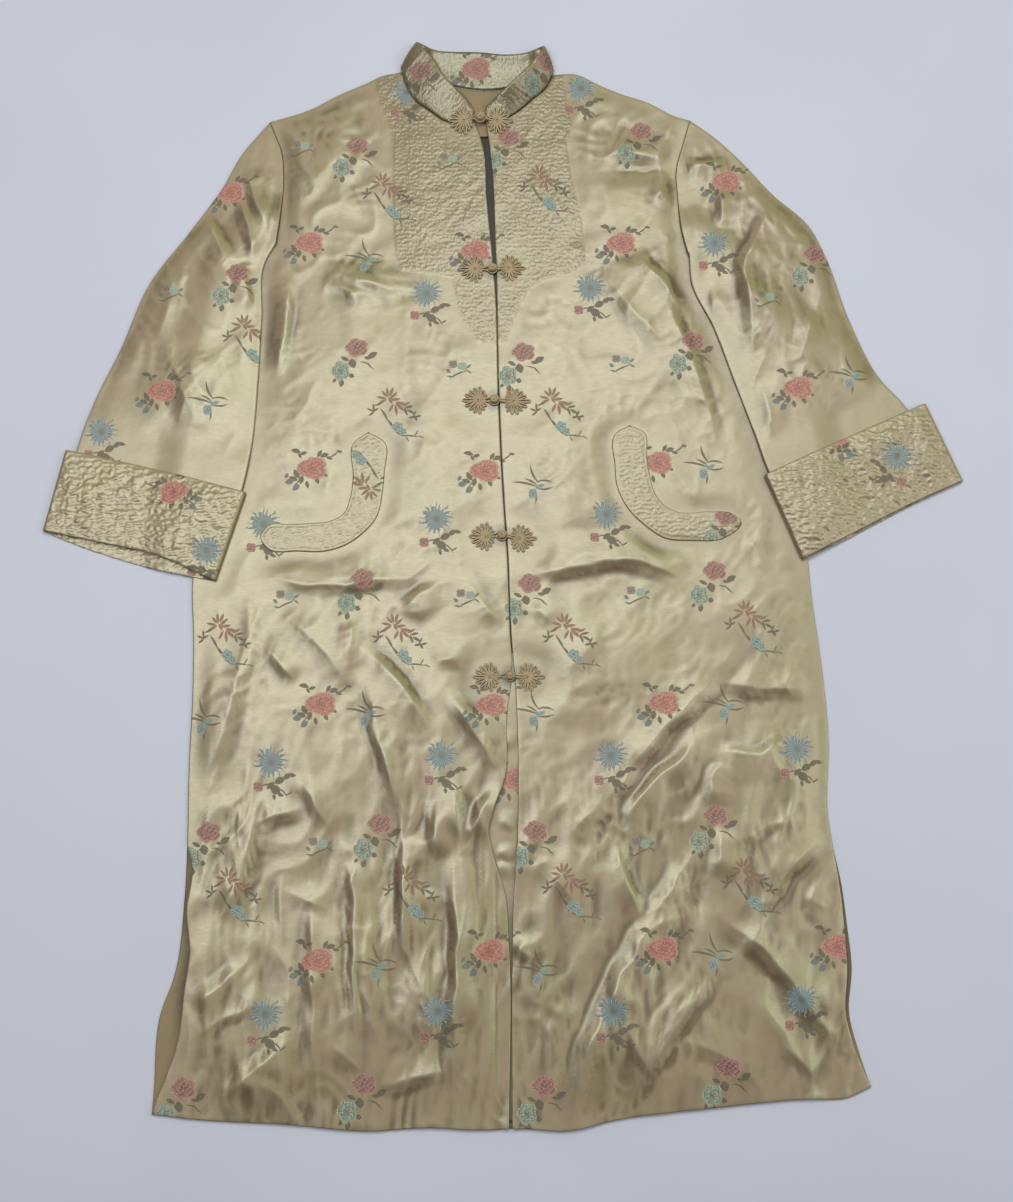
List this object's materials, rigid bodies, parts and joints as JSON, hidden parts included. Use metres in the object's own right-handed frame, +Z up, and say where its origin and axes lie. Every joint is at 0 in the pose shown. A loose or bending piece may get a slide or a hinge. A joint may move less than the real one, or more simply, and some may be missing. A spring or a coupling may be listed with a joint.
{
  "type": "brocade satin robe",
  "caption": "Short silk brocade robe with a stand collar, cord frogs, wide sleeves with quilted cuffs and quilted pocket bands, laid flat.",
  "frame": {"origin": "middle of the robe's box, on the surface that it lies on", "axes": "+X across the robe, to the right seen from above with the collar at the top; +Y from the hem towards the collar; +Z up from the surface"},
  "size_m": [0.928, 1.108, 0.0199],
  "materials": {
    "satin": "satin",
    "quilted_satin": "satin",
    "silk_cord": "satin",
    "knotted_cord": "satin"
  },
  "bodies": {
    "root": {"back": "satin", "front_left": "satin", "front_right": "satin", "underlap": "satin", "sleeve_left": "satin", "sleeve_right": "satin", "cuff_left": "quilted_satin", "cuff_right": "quilted_satin", "collar": "quilted_satin", "pocket_band_left": "quilted_satin", "pocket_band_right": "quilted_satin", "frog_1_left": "silk_cord", "frog_1_right": "silk_cord", "frog_1_loop": "silk_cord", "frog_1_knot": "knotted_cord", "frog_2_left": "silk_cord", "frog_2_right": "silk_cord", "frog_2_loop": "silk_cord", "frog_2_knot": "knotted_cord", "frog_3_left": "silk_cord", "frog_3_right": "silk_cord", "frog_3_loop": "silk_cord", "frog_3_knot": "knotted_cord", "frog_4_left": "silk_cord", "frog_4_right": "silk_cord", "frog_4_loop": "silk_cord", "frog_4_knot": "knotted_cord", "frog_5_left": "silk_cord", "frog_5_right": "silk_cord", "frog_5_loop": "silk_cord", "frog_5_knot": "knotted_cord"}
  },
  "joints": []
}
